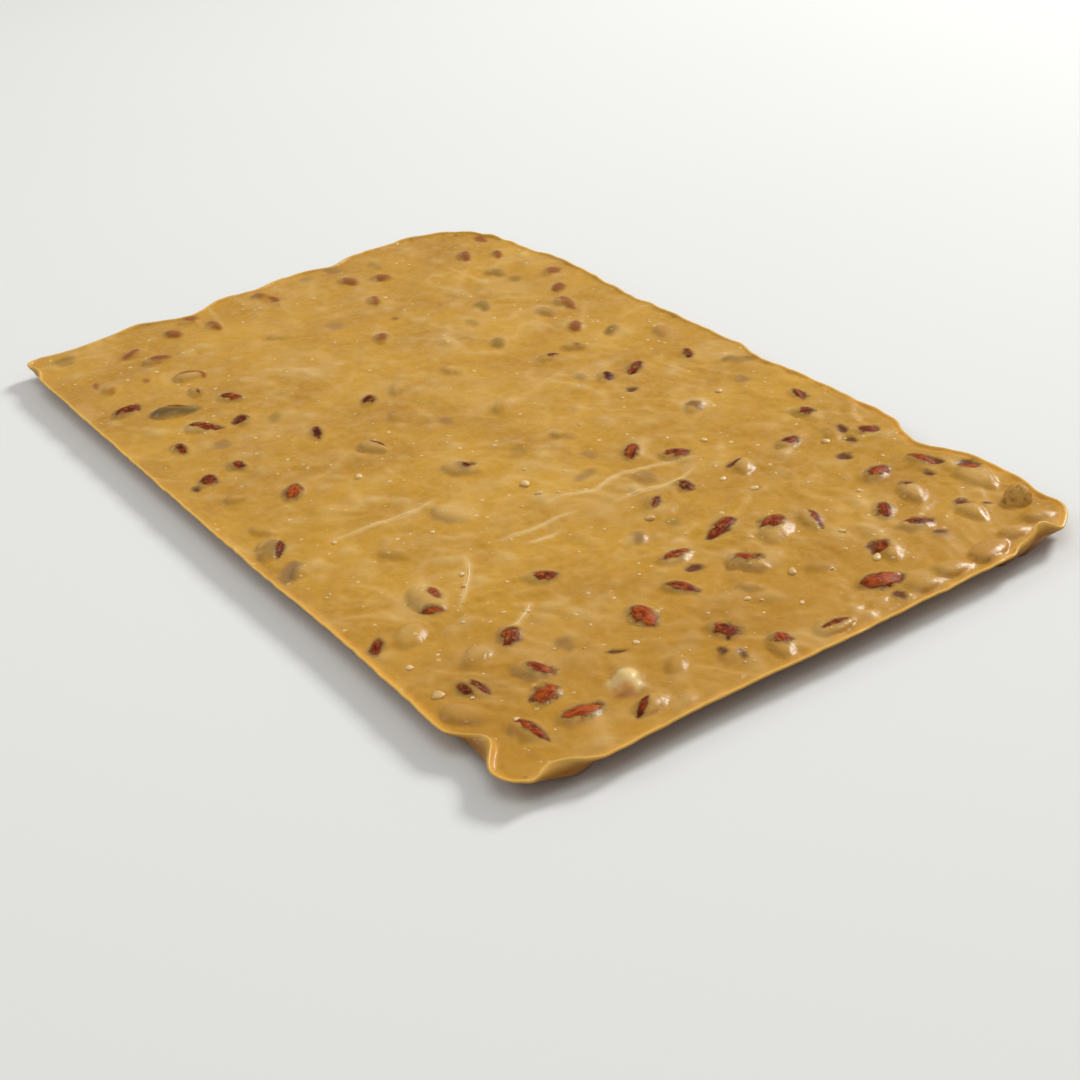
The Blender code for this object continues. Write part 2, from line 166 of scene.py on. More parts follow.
# Skin that shows only through the film: x, y, heading, length, width, strength, tint
OLIVE, BROWN, RUST, PALE, DARK = "#7d6126", "#866341", "#b47a2b", "#dcb878", "#4d1d09"
RED_BROWN = "#7e2a0a"
VEILED_SKIN = "#6f3a12"
STAINS = (
    (25, -114, -35, 13, 8, 0.6, OLIVE), (-77, -61, -35, 10, 5, 0.5, OLIVE),
    (-45, 95, -55, 9, 5, 0.7, OLIVE), (-70, 50, -25, 10, 5, 0.6, OLIVE),
    (-141, 95, 0, 8, 6, 0.6, OLIVE), (-129, 97, 0, 8, 6, 0.6, OLIVE),
    (-111, 68, -20, 12, 5, 0.6, OLIVE), (-99, 54, 0, 8, 5, 0.4, OLIVE), (111, 11, 0, 8, 5, 0.5, OLIVE),
    (-200, -109, -50, 10, 10, 0.5, OLIVE), (-113, -92, 65, 22, 10, 0.9, "#66521f"),
    (-193, 55, 0, 12, 5, 0.4, OLIVE), (150, -66, 0, 8, 6, 0.6, BROWN),
    (44, -116, -45, 15, 8, 0.7, BROWN), (-69, -90, 0, 9, 8, 0.5, BROWN), (-22, -8, 0, 8, 5, 0.5, BROWN),
    (58, 8, 105, 13, 5, 0.5, BROWN), (76, 25, 0, 9, 6, 0.5, BROWN), (20, -24, -45, 10, 8, 0.7, BROWN),
    (-25, 110, 0, 15, 8, 0.4, RUST), (112, -6, -40, 9, 4, 0.6, BROWN), (35, 106, 0, 7, 5, 0.5, BROWN),
    (45, 19, 0, 8, 5, 0.5, BROWN), (208, 101, 0, 4, 4, 0.7, BROWN), (-84, 86, 0, 11, 6, 0.5, BROWN),
    (-15, 57, 0, 7, 5, 0.5, BROWN), (-143, 5, 0, 9, 8, 0.5, BROWN), (-203, 36, 0, 8, 8, 0.5, BROWN),
    (-203, 21, 0, 7, 7, 0.4, BROWN), (184, 77, 0, 5, 5, 0.5, BROWN), (203, 82, 100, 20, 12, 0.5, RUST),
    (186, 112, -60, 14, 12, 0.4, RUST), (201, 98, 74, 18, 10, 0.25, RUST),
    (184, -65, 0, 12, 11, 0.95, "#e9c885"), (187, -68, 40, 9, 5, 0.8, "#d8913a"),
    (189, -68, 59, 8, 2.4, 0.5, "#8f5420"), (48, -46, 60, 17, 18, 0.3, PALE),
    (-120, 16, 0, 9, 6, 0.6, PALE), (190, -29, -20, 6, 3, 0.9, DARK), (196, -25, -20, 6, 3, 0.9, DARK),
    (112, 50, 80, 4, 3, 0.9, DARK), (179, 104, 60, 4, 2, 0.9, DARK), (142, -2, 60, 5, 4, 0.8, DARK),
    (166, -55, 60, 7, 2.5, 0.9, DARK), (182, 78, 70, 6, 3.5, 0.8, DARK),
    (135, -78, -60, 10, 8, 0.45, "#8a5530"), (-91, -92, 42, 15, 6, 0.5, PALE),
    (-113, -86, 65, 8, 6, 0.3, PALE), (21, 117, 50, 18, 6, 0.7, "#8a6726"),
    (39, 78, 30, 13, 10, 0.4, PALE), (42, 75, 20, 8, 5, 0.8, "#7d4f22"),
    (24, -1, -40, 13, 7, 0.35, OLIVE),
)

# Colours of the chocolate: pale where the knife drew it up, painted light on the tops of lumps and mounds,
# painted shade on mound flanks and on the wall, a painted glow of light through the thin lip on its crest and
# inner slope, and amber towards the near corner
LUMP_TOP_LIGHT, MOUND_TOP_LIGHT, RIDGE_PALE, CREST_GLOW_PALE = "#dcb97a", "#d9b577", "#ecc583", "#e6b75b"
FLANK_SHADE_BROWN, NEAR_AMBER, LIP_GLOW_AMBER, WALL_SHADE_BROWN = "#97702b", "#b27c22", "#e0a03a", "#8a5414"

# How strongly rings of the skin take the painted glow of the lip and the painted shade of the wall. Ring 0 is
# the grid, 1 to 7 are the lip with its crest at 5, and 8 to 16 the wall
LAST_TOP_RING = 4
INNER_GLOW_RINGS = ((0, 1, 2, 3, 5), (0, 0.45, 0.75, 0.6, 0))
CREST_GLOW_RINGS = ((2, 3, 4, 5, 7, 8, 9), (0, 0.25, 0.85, 1.0, 0.8, 0.2, 0))
WALL_SHADE_RINGS = ((6, 7, 8, 9, 13), (0, 0.35, 0.85, 1.0, 1.0))

# Where skin patches sink and the film veils them, in mm towards the far left, and how far the veil reaches
SINKING_STARTS = (-60, 130)
VEIL_STARTS = (55, 95)
VEIL_DEPTH = 7.0
PATCH_SPAN = 18
NO_SKIN = -9.0

# Peeled nut that stands up like a ball: x, y, radius, and height over the other almonds
PEELED_NUT = (185, -64, 6.5, 1.7)

# Crumbs that stand out: x, y and size. The small ones are scattered from one x over a length towards -X,
# and have a smallest size and a spread. How high a crumb stands is a share of its size
CRUMBS = (
    (-4, -60, 4), (55, -61, 2.5), (36, -93, 2.5), (48, -14, 4), (58, -14, 3), (103, 6, 5), (167, 21, 4),
    (170, -2, 3), (37, 92, 3), (67, 60, 3), (148, -115, 5), (166, -47, 2.5), (128, -114, 3),
    (112, 49, 4), (102, 94, 4), (89, -69, 3), (96, -72, 2), (125, -64, 2.5), (158, 52, 3), (180, 49, 4),
    (98, 45, 3.5),
)
SMALL_CRUMBS = 200
SMALL_CRUMBS_FROM = 205
SMALL_CRUMBS_OVER = 405
SMALL_CRUMB_SIZE = (0.7, 1.3)
CRUMB_STANDS = 0.42
SMALL_CRUMB_STANDS = 0.22

# Small bubbles and crumbs under the film: how many, how far they lie to each side and their radius in mm,
# and their rise by radius
LUMPS = 820
SCATTER_TO_SIDE = 118
LUMP_RADIUS = (1.3, 4.2)
LUMP_RISE = (0.07, 0.18)

# Waves left in the poured top: length, height, extra height where it is busy, and seed
WIDE_WAVE = (62, 0.28, 1)
SWIRLED_WAVES = ((27, 0.20, 0.0, 2), (13, 0.10, 0.22, 3), (7.5, 0.04, 0.14, 5))
STROKE_WAVE = (9, 0.07, 4)
SWIRL_LINE = 0.16

# Thin pale ridges drawn up by the spreading knife: points x, y along each
RIDGE_WIDTH = 1.15
RIDGE_HEIGHT = 0.22
THREAD_RADIUS = 0.3
THREAD_PALENESS = 0.75
RIDGES = (
    ((75, 48), (71, 33), (67, 18), (70, 3), (66, -7), (66, -17)),
    ((83, 43), (86, 30), (84, 16), (83, 3)),
    ((79, -12), (78, -22), (78, -34), (77, -45)),
    ((87, -24), (87, -31), (86, -38)),
    ((34, -45), (36, -60), (35, -78), (34, -95)),
    ((78, -61), (86, -64), (96, -71), (107, -81)),
    ((121, -60), (126, -66), (131, -75)),
)

# Patterns in the chocolate and on the skins: size in mm of one cloud, streak, speck or wrinkle, and how
# deep in mm the edge of a bare patch is frayed
CLOUDS = 36
MARBLING = 25
STROKE_WIDTH = 4
STROKE_LENGTH = 17
MOTTLE = 2.6
SPECKS_APART = 4.2
PITS_APART = 7.7
FRAYED_EDGE = 1.1
FRAYED_DEPTH = 1.4
GLOSS = 17
ROLLING = 7.7
GRAIN = 3.3
SKIN_WRINKLE_WIDTH = 0.87
SKIN_WRINKLE_LENGTH = 6.25
SKIN_BLOTCH = 3.1
SKIN_SMEAR = 2.2
CRUMB_MOTTLE = 2

# Camera at the photograph's viewing angle
CAMERA_PLACE = (0.6034, -0.3430, 0.3605)
CAMERA_LOOK = (-0.73919, 0.44340, -0.50694)
CAMERA_ROLL = math.radians(5.91)
CAMERA_LENS = 62.55
CAMERA_SENSOR = 36.0

# Soft boxes: name, direction from the slab, distance, size and power
LIGHTS = (
    ("right soft box", (-0.14, 0.84, 0.56), 2.6, 0.7, 50),
    ("left soft box", (-0.58, -0.58, 0.62), 1.8, 0.7, 4.0),
    ("overhead soft box", (0.15, -0.1, 1.0), 1.8, 1.4, 6.5),
)
STUDIO_STRENGTH = 0.42

random = np.random.default_rng(7)


def linear(colour):
    """The linear value of an sRGB hex colour."""
    parts = [int(colour[i:i + 2], 16) / 255 for i in (1, 3, 5)]
    return tuple(c / 12.92 if c <= 0.04045 else ((c + 0.055) / 1.055) ** 2.4 for c in parts)


def set_inputs(tree, node, inputs):
    """Gives a shader node's sockets their values or links."""
    for name, value in inputs.items():
        socket = node.inputs[name]
        if isinstance(value, bpy.types.NodeSocket):
            tree.links.new(value, socket)
        elif isinstance(value, str):
            socket.default_value = (*linear(value), 1.0)
        else:
            socket.default_value = value


def add_node(tree, kind, inputs=None, **settings):
    """Adds a shader node with its inputs and settings."""
    node = tree.nodes.new(kind)
    for name, value in settings.items():
        setattr(node, name, value)
    set_inputs(tree, node, inputs or {})
    return node


def set_ramp(node, *stops):
    """Gives a colour ramp its stops from low to high, each a position and a colour."""
    elements = node.color_ramp.elements
    for _ in range(len(stops) - len(elements)):
        elements.new(0.5)
    for element, (position, colour) in zip(elements, stops):
        element.position = position
        element.color = (*linear(colour), 1)


def lay_colours(tree, colour, layers):
    """Lays colours over one another, and gives their masks too. A layer holds what steers it, between
    which values it changes, how much it hides at the first and at the last, and its colour."""
    masks = []
    for steer, start, stop, first, last, interpolation, tone in layers:
        mask = add_node(
            tree, "ShaderNodeMapRange",
            {"Value": steer, "From Min": start, "From Max": stop, "To Min": first, "To Max": last},
            interpolation_type=interpolation,
        ).outputs["Result"]
        masks.append(mask)
        colour = add_node(
            tree, "ShaderNodeMix", {"Factor": mask, 6: colour, 7: tone}, data_type="RGBA",
        ).outputs[2]
    return colour, masks


def frayed_reach(tree, place, scale):
    """How far inside a bare patch a place lies, in mm, with a frayed edge."""
    reach = add_node(tree, "ShaderNodeAttribute", attribute_name="skin_reach").outputs["Fac"]
    fray = add_node(tree, "ShaderNodeTexNoise", {"Vector": place, "Scale": scale, "Detail": 3.0})
    return add_node(
        tree, "ShaderNodeMath", {0: fray.outputs["Fac"], 1: FRAYED_DEPTH, 2: reach}, operation="MULTIPLY_ADD",
    ).outputs["Value"]


def new_material(name):
    material = bpy.data.materials.new(name)
    material.use_nodes = True
    tree = material.node_tree
    shader = tree.nodes["Principled BSDF"]
    return material, tree, shader


def per_metre(size):
    """How many times a pattern of this size in mm fits in a metre, which is a texture's scale."""
    return 1 / (size * MM)


def smooth_step(low, high, values):
    share = np.clip((values - low) / (high - low), 0.0, 1.0)
    return share * share * (3 - 2 * share)


def ripples(x, y, wavelength, seed, waves=9):
    """Smooth unevenness of about this wavelength in mm, mostly from -1 to 1."""
    draw = np.random.default_rng(seed)
    total = np.zeros_like(x)
    for _ in range(waves):
        turn = draw.uniform(0, 2 * math.pi)
        pitch = 2 * math.pi / (wavelength * draw.uniform(0.75, 1.4))
        phase = draw.uniform(0, 2 * math.pi)
        total += np.cos((x * math.cos(turn) + y * math.sin(turn)) * pitch + phase)
    return total / math.sqrt(waves * 2)


def swirled(x, y, wavelength, seed):
    """Places pushed about, so that an evenness laid over them runs in swirls."""
    push = wavelength * 0.45
    return (
        x + push * ripples(x, y, wavelength * 2, seed),
        y + push * ripples(x, y, wavelength * 2, seed + 1),
    )


def smooth_max(first, second, width):
    share = np.clip(0.5 + 0.5 * (first - second) / width, 0.0, 1.0)
    return second + (first - second) * share + width * share * (1 - share)


def points_of(mesh):
    """A mesh's points as rows of x, y and z."""
    points = np.zeros(len(mesh.vertices) * 3)
    mesh.vertices.foreach_get("co", points)
    return points.reshape(-1, 3)


def note_values(mesh, **values):
    """Gives a mesh's points named values, which the materials read."""
    for name, value in values.items():
        mesh.attributes.new(name, "FLOAT", "POINT").data.foreach_set("value", value)


def copy_of(pattern):
    copy = pattern.copy()
    copy.data = pattern.data.copy()
    bpy.context.scene.collection.objects.link(copy)
    return copy


# Almonds in the frame and under the film
def almond_of_node(name):
    """An almond's middle, axes and half sizes, read from its node's corners."""
    corners = np.array([vert.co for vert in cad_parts[name].data.vertices])
    corners = np.unique(corners.round(6), axis=0)
    middle = corners.mean(axis=0)
    axes = np.linalg.svd(corners - middle, full_matrices=False)[2]
    reach = (corners - middle) @ axes.T
    middle = middle + (reach.min(axis=0) + reach.max(axis=0)) / 2 @ axes
    half = (reach.max(axis=0) - reach.min(axis=0)) / 2
    along = (corners - middle) @ axes[0]
    girth = np.linalg.norm(np.cross(corners - middle, axes[0]), axis=1)
    if (along * girth).sum() > 0:
        axes[0] = -axes[0]
    if axes[2][2] < 0:
        axes[2] = -axes[2]
    axes[1] = np.cross(axes[2], axes[0])
    return Almond(middle / MM, axes, half / MM)


def sunk_almond(place):
    x, y, heading, length, over = place
    angle = math.radians(heading)
    top = LEVEL / MM + over
    thickness = min(THICKNESS_SHARE * length, top - 1.2)
    axes = np.array([
        (math.cos(angle), math.sin(angle), 0), (-math.sin(angle), math.cos(angle), 0), (0, 0, 1),
    ])
    middle = np.array((x, y, top - thickness / 2))
    return Almond(middle, axes, np.array((length, length * WIDTH_SHARE, thickness)) / 2)


def girth_at(along):
    inside = np.clip(along, -1, 1)
    return (1 - inside) ** TIP_POWER * (1 + inside) ** BUTT_POWER


def almond_top(almond, x, y):
    """Height of an almond's upper side in mm, carried on downwards past its edge."""
    middle, axes, half = almond
    z = np.full_like(x, middle[2])
    for _ in range(3):
        offset = np.stack((x - middle[0], y - middle[1], z - middle[2]), axis=-1)
        local = offset @ axes.T
        along = local[..., 0] / half[0]
        beyond = np.maximum(np.abs(along) - 1, 0)
        rest = girth_at(along) ** 2 - (local[..., 1] / half[1]) ** 2 - 3 * beyond
        height = half[2] * np.sign(rest) * np.sqrt(np.abs(rest))
        z = middle[2] + (height - offset[..., :2] @ axes[2][:2]) / max(axes[2][2], 0.5)
        z = np.minimum(z, middle[2] + np.linalg.norm(axes[:, 2] * half))
    return z


def make_almonds(almonds):
    """All almonds as one mesh: wrinkled lengthwise, blunt at one end and pointed at the other."""
    bpy.ops.object.select_all(action="DESELECT")
    bpy.ops.mesh.primitive_uv_sphere_add(
        segments=ALMOND_SEGMENTS, ring_count=ALMOND_RINGS, radius=1.0, rotation=(0, math.radians(90), 0),
    )
    bpy.ops.object.transform_apply(location=False, rotation=True, scale=False)
    pattern = bpy.context.object
    copies = []
    for number, almond in enumerate(almonds):
        copy = copy_of(pattern)
        shape_almond(copy.data, almond, number)
        copies.append(copy)
    bpy.data.objects.remove(pattern, do_unlink=True)
    return join_copies(copies, "whole_almonds")


def shape_almond(mesh, almond, number):
    """Turns a ball of radius 1 into one almond in place, and notes where each point lies on its skin."""
    points = points_of(mesh)
    along = np.clip(points[:, 0], -1, 1)
    turn = np.arctan2(points[:, 1], points[:, 2])
    wanted = girth_at(along)
    draw = np.random.default_rng(number)
    phases = draw.uniform(0, 2 * math.pi, 4)
    ridge = np.cos(13 * turn + 1.5 * along + phases[0]) + 0.7 * np.cos(21 * turn - 2 * along + phases[1])
    ridge += 0.8 * np.cos(7 * turn + 2.5 * along + phases[2])
    ridge *= np.clip(1.2 - np.abs(along), 0, 1) * WRINKLE / MM
    sag = 1 + 0.03 * np.cos(2 * turn + phases[3])
    half = almond.half
    local = np.stack((
        along * half[0],
        np.sin(turn) * (wanted * half[1] * sag + ridge),
        np.cos(turn) * (wanted * half[2] + ridge - WRINKLE / MM),
    ), axis=-1)
    placed = (local @ almond.turn + almond.middle) * MM
    mesh.vertices.foreach_set("co", placed.ravel())
    skin = mesh.attributes.new("skin_place", "FLOAT_VECTOR", "POINT")
    around = turn * half[1]
    lengthwise = along * half[0]
    apart = np.full_like(turn, SKIN_APART * number)
    skin.data.foreach_set("vector", np.stack((around, lengthwise, apart), axis=-1).ravel())


# Skin patches and stains
def patch_reach(x, y, patch):
    """How far inside an oval patch each place lies, in mm, negative outside it."""
    px, py, heading, length, width = patch[:5]
    angle = math.radians(heading)
    dx, dy = x - px, y - py
    along = dx * math.cos(angle) + dy * math.sin(angle)
    across = dy * math.cos(angle) - dx * math.sin(angle)
    share = np.hypot(along / (length / 2), across / (width / 2))
    away = np.hypot(along, across)
    return np.where(share > 1e-3, away * (1 / np.maximum(share, 1e-3) - 1), width / 2)


def far_left(patch):
    """How far a patch lies towards the far left of the photo, in mm from the slab's middle."""
    return 0.5 * patch[1] - 0.87 * patch[0]


def veil_over(patch):
    """How much the film hides a patch: those towards the far left lie under it."""
    return float(smooth_step(*VEIL_STARTS, far_left(patch)))


def skin_reach(x, y):
    """How far inside the nearest bare patch each place lies, in mm, and that patch's tone."""
    reach = np.full_like(x, NO_SKIN)
    tone = np.zeros_like(x)
    ragged = 0.75 * ripples(x, y, 4.5, 31) + 0.5 * ripples(x, y, 2.4, 32)
    for patch in BARE_SKIN:
        near = (np.abs(x - patch[0]) < PATCH_SPAN) & (np.abs(y - patch[1]) < PATCH_SPAN)
        inside = patch_reach(x[near], y[near], patch) + ragged[near] * min(1.0, patch[4] / 5)
        sunk = 0.5 * float(smooth_step(*SINKING_STARTS, far_left(patch)))
        inside -= sunk + VEIL_DEPTH * veil_over(patch)
        closer = inside > reach[near]
        reach[near] = np.where(closer, inside, reach[near])
        tone[near] = np.where(closer, patch[5] - sunk, tone[near])
    return reach, tone


# Poured surface
def lumps(x, y):
    """Small bubbles and crumbs under the film, more of them towards +X."""
    height = np.zeros_like(x)
    for _ in range(LUMPS):
        px = HALF_LENGTH / MM * (1 - 2 * random.uniform() ** 1.5)
        py = random.uniform(-SCATTER_TO_SIDE, SCATTER_TO_SIDE)
        radius = random.uniform(*LUMP_RADIUS)
        up = random.uniform(*LUMP_RISE) * radius
        near = (np.abs(x - px) < 3 * radius) & (np.abs(y - py) < 3 * radius)
        away = ((x[near] - px) ** 2 + (y[near] - py) ** 2) / radius ** 2
        height[near] += up * np.exp(-away * 1.3)
    return height


def poured_level(x, y):
    """The chocolate's height in mm where nothing lies under it."""
    sx, sy = swirled(x, y, 26, 51)
    busy = smooth_step(-170, 150, x + 0.3 * y)
    length, height, seed = WIDE_WAVE
    level = LEVEL / MM - DROP + height * ripples(x, y, length, seed)
    for length, height, extra, seed in SWIRLED_WAVES:
        level += (height + extra * busy) * ripples(sx, sy, length, seed)
    length, height, seed = STROKE_WAVE
    level += height * ripples(x * 0.3 + y * 0.1, y - x * 0.15, length, seed)
    level += FAR_HEAP * (smooth_step(92, 116, y) + 0.6 * smooth_step(-180, -203, x))
    return level + swirl_lines(x, y) * SWIRL_LINE


def swirl_lines(x, y):
    """Thin curved lines where strokes of the knife ran out, 1 on a line and 0 away from it."""
    sx, sy = swirled(x, y, 44, 61)
    lines = np.clip(1 - 2.2 * np.abs(ripples(sx * 0.55, sy, 34, 63)), 0, 1) ** 3
    return lines * smooth_step(-0.1, 0.6, ripples(x, y, 70, 65))


def smooth_route(route, step):
    """Points a step apart on a smooth curve through a route's points."""
    ends = [np.array(point, float) for point in route]
    ends = [2 * ends[0] - ends[1], *ends, 2 * ends[-1] - ends[-2]]
    points = []
    for before, start, stop, after in zip(ends, ends[1:], ends[2:], ends[3:]):
        count = max(2, int(np.linalg.norm(stop - start) / step))
        for share in np.arange(count) / count:
            bend = (2 * before - 5 * start + 4 * stop - after) * share ** 2
            turn = (3 * start - before - 3 * stop + after) * share ** 3
            points.append((2 * start + (stop - before) * share + bend + turn) / 2)
    return np.array(points + [ends[-2]])


def knife_ridges(x, y):
    """How strongly a ridge shows at each place, fading towards both ends of the ridge."""
    strength = np.zeros_like(x)
    for route in RIDGES:
        points = smooth_route(route, 0.8)
        low, high = points.min(axis=0) - 6, points.max(axis=0) + 6
        near = (x > low[0]) & (x < high[0]) & (y > low[1]) & (y < high[1])
        away = np.hypot(x[near][:, None] - points[:, 0], y[near][:, None] - points[:, 1])
        fade = np.sin(math.pi * (np.arange(len(points)) + 0.5) / len(points)) ** 0.6
        strength[near] = np.maximum(strength[near], (np.exp(-(away / RIDGE_WIDTH) ** 2) * fade).max(axis=1))
    return strength


def film_over(x, y, base, almonds):
    """Raises the chocolate over the almonds, and draws it back where their skin is bare."""
    reach, tone = skin_reach(x, y)
    bare = smooth_step(*BARE_EDGE, reach)
    film = FILM * (1 - bare) - BARE * bare
    width = MENISCUS * (1 - bare) + BARE_MENISCUS * bare
    height = base - BARE_SINKS * bare
    for almond in almonds:
        if on_end(almond):
            continue
        span = almond.half[0] + 5
        near = (np.abs(x - almond.middle[0]) < span) & (np.abs(y - almond.middle[1]) < span)
        if near.any():
            top = almond_top(almond, x[near], y[near]) + film[near]
            height[near] = smooth_max(height[near], top, width[near])
    return height, reach, tone


def nut_top(x, y):
    """Extra height in mm of the peeled nut's round top."""
    px, py, radius, up = PEELED_NUT
    return up * np.exp(-1.4 * ((x - px) ** 2 + (y - py) ** 2) / radius ** 2)


def dent(point, x, y, depth, half_width):
    away = (point - Vector((x, y)) * MM).length / (half_width * MM)
    return depth * MM * math.cos(away * math.pi / 2) ** 2 if away < 1 else 0.0


def side_of_rectangle(low, high, radii, side, cells):
    """Points and outward directions from the middle of one rounded corner to the middle of the next."""
    corners = (Vector(low), Vector((high[0], low[1])), Vector(high), Vector((low[0], high[1])))
    inward = (Vector((1, 1)), Vector((-1, 1)), Vector((-1, -1)), Vector((1, -1)))
    first, last = side, (side + 1) % 4
    start = corners[first] + inward[first] * radii[first]
    end = corners[last] + inward[last] * radii[last]
    angle = math.radians(270 + 90 * side)
    outward = Vector((math.cos(angle), math.sin(angle)))
    straight = (end - start).dot(Vector((-outward.y, outward.x)))
    arcs = [radii[first] * math.pi / 4, radii[last] * math.pi / 4]
    points = []
    for cell in range(cells):
        run = (arcs[0] + straight + arcs[1]) * cell / cells
        if run < arcs[0]:
            turned = angle - math.pi / 4 + run / radii[first]
            away = Vector((math.cos(turned), math.sin(turned)))
            points.append((start + away * radii[first], away))
        elif run < arcs[0] + straight:
            share = (run - arcs[0]) / straight
            edge = (start + outward * radii[first]).lerp(end + outward * radii[last], share)
            points.append((edge, outward))
        else:
            turned = angle + (run - arcs[0] - straight) / radii[last]
            away = Vector((math.cos(turned), math.sin(turned)))
            points.append((end + away * radii[last], away))
    return points


def rim_rings():
    """Rings of points: the lip's inner foot, its slope and crest, and the wall down to the underside."""
    low, high = (-HALF_LENGTH, -HALF_WIDTH), (HALF_LENGTH, HALF_WIDTH)
    low_foot = (low[0] + UNDERCUT, low[1] + UNDERCUT_NEAR)
    high_foot = (high[0] - UNDERCUT, high[1] - UNDERCUT)
    edge, below = [], []
    foot_radii = [max(BOTTOM_CORNER_RADIUS, radius - UNDERCUT) for radius in CORNER_RADII]
    for side in range(4):
        cells = CELLS_LONG if side % 2 == 0 else CELLS_SHORT
        edge += side_of_rectangle(low, high, CORNER_RADII, side, cells)
        below += side_of_rectangle(low_foot, high_foot, foot_radii, side, cells)
    wobble = rim_wobble(edge)
    rings = [[] for _ in range(1 + len(LIP_SLOPE) + len(WALL))]
    for (point, outward), (foot, _), (inward, droop) in zip(edge, below, wobble):
        scalloped = point - outward * sum(dent(point, *scallop) for scallop in SCALLOPS)
        curl = outward * sum(dent(point, *values[:4]) for values in CURLS)
        stands = 1 - CURL_STANDS_OUT * sum(dent(point, x, y, 1 / MM, half) for x, y, _, half, _ in CURLS)
        rise = sum(dent(point, x, y, up, half) for x, y, _, half, up in CURLS)
        height = LIP_HEIGHT + rise - droop
        lip = scalloped - curl - outward * inward
        rings[0].append((*(lip - outward * LIP_FOOT), LEVEL))
        for ring, (inside, up) in zip(rings[1:], LIP_SLOPE):
            ring.append((*(lip - outward * inside * MM), LEVEL + up * (height - LEVEL)))
        for ring, (share, up, follow) in zip(rings[1 + len(LIP_SLOPE):], WALL):
            place = scalloped.lerp(foot, share * stands) - (curl + outward * inward) * follow
            ring.append((*place, up * height))
    return rings


def rim_wobble(edge):
    """How far each point of the lip lies in and down from its even line."""
    x = np.array([point.x for point, _ in edge]) / MM
    y = np.array([point.y for point, _ in edge]) / MM
    far = smooth_step(-60, 120, y - 0.55 * x)
    length, depth, extra, seed = LIP_WAVE
    inward = (depth + extra * far) * (0.5 + 0.5 * ripples(x, y, length, seed))
    length, depth, seed = LIP_RIPPLE
    inward += depth * (0.5 + 0.5 * ripples(x, y, length, seed))
    droop = np.full_like(x, LIP_DROOP)
    for length, depth, seed in DROOP_WAVES:
        droop += depth * ripples(x, y, length, seed)
    return [(max(a, 0) * MM, b * MM) for a, b in zip(inward, droop)]


def fill_inside(ring):
    """Grid points inside a ring of border points, by blending its four sides."""
    nx, ny = CELLS_LONG, CELLS_SHORT
    ring = np.array(ring)[:, :2]
    bottom = ring[:nx + 1]
    right = ring[nx:nx + ny + 1]
    top = ring[nx + ny:2 * nx + ny + 1][::-1]
    left = np.vstack((ring[2 * nx + ny:], ring[:1]))[::-1]
    u = np.linspace(0, 1, nx + 1)[None, :, None]
    v = np.linspace(0, 1, ny + 1)[:, None, None]
    grid = (1 - v) * bottom[None] + v * top[None] + (1 - u) * left[:, None] + u * right[:, None]
    grid -= (1 - u) * (1 - v) * bottom[0] + u * (1 - v) * bottom[-1]
    grid -= (1 - u) * v * top[0] + u * v * top[-1]
    return grid


def on_end(almond):
    return almond.turn[0][2] ** 2 > 0.3


def make_slab(almonds):
    """The slab as one closed skin: a fine grid for its top, drawn out over the lip and down the wall."""
    bpy.ops.object.select_all(action="DESELECT")
    bpy.ops.mesh.primitive_grid_add(x_subdivisions=CELLS_LONG, y_subdivisions=CELLS_SHORT, size=1.0)
    slab = bpy.context.object
    slab.name = "caramel_chocolate"
    mesh = slab.data
    rings = rim_rings()
    grid = fill_inside(rings[0])
    count = len(mesh.vertices)
    points = points_of(mesh)
    column = np.rint((points[:, 0] + 0.5) * CELLS_LONG).astype(int)
    row = np.rint((points[:, 1] + 0.5) * CELLS_SHORT).astype(int)
    points[:, :2] = grid[row, column]
    points[:, 2] = LEVEL
    mesh.vertices.foreach_set("co", points.ravel())

    bpy.ops.object.mode_set(mode="EDIT")
    bpy.ops.mesh.select_mode(type="EDGE")
    bpy.ops.mesh.select_all(action="SELECT")
    bpy.ops.mesh.region_to_loop()
    for before, after in zip(rings, rings[1:]):
        bpy.ops.mesh.extrude_edges_move()
        edit = bmesh.from_edit_mesh(mesh)
        place = {tuple(round(c, 6) for c in was[:2]): Vector(now) for was, now in zip(before, after)}
        for vert in edit.verts:
            if vert.select:
                vert.co = place[tuple(round(c, 6) for c in vert.co[:2])]
        bmesh.update_edit_mesh(mesh)
    bpy.ops.mesh.edge_face_add()
    bpy.ops.mesh.select_all(action="SELECT")
    bpy.ops.mesh.normals_make_consistent(inside=False)
    bpy.ops.object.mode_set(mode="OBJECT")
    pour(mesh, count, len(rings[0]), almonds)
    bpy.ops.object.shade_smooth()
    return slab


